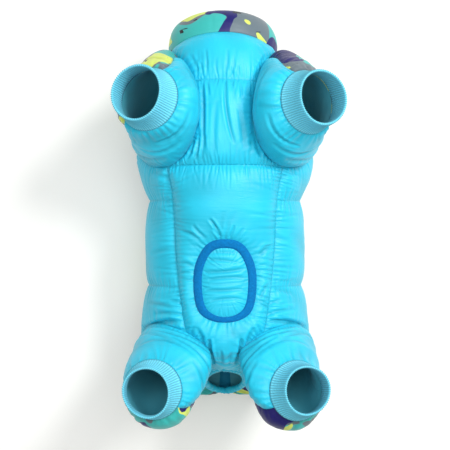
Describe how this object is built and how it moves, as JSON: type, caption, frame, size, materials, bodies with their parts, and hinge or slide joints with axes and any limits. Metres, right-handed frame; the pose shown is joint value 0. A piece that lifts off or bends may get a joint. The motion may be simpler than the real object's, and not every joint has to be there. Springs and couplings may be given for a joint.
{
  "type": "dog jumpsuit",
  "caption": "Padded four-legged winter jumpsuit for a small dog, shown as worn, with ribbed cuffs, stand-up collar, bound belly opening and back zip.",
  "frame": {"origin": "middle of the torso hollow, where the dog's trunk goes", "axes": "+Y along the dog's back to its head, +Z out of the belly, +X to the dog's left side"},
  "size_m": [0.2171, 0.4016, 0.2009],
  "materials": {
    "shell": "smooth, slightly glossy taffeta",
    "print": null,
    "knit": "ribbed knit",
    "binding": "fine ribbed knit",
    "zip": "woven zip tape"
  },
  "bodies": {
    "root": {"chest_panel": "shell", "belly_panel": "shell", "opening_trim": "binding", "opening_panel": "shell", "flank_right": "shell", "flank_left": "shell", "back_right": "print", "back_left": "print", "back_zip": "zip", "collar": "print", "tail_hem": "shell", "front_right_sleeve_inner": "shell", "front_right_sleeve_outer": "print", "front_right_cuff": "knit", "front_left_sleeve_inner": "shell", "front_left_sleeve_outer": "print", "front_left_cuff": "knit", "hind_right_sleeve_inner": "shell", "hind_right_sleeve_outer": "print", "hind_right_cuff": "knit", "hind_left_sleeve_inner": "shell", "hind_left_sleeve_outer": "print", "hind_left_cuff": "knit"}
  },
  "joints": []
}
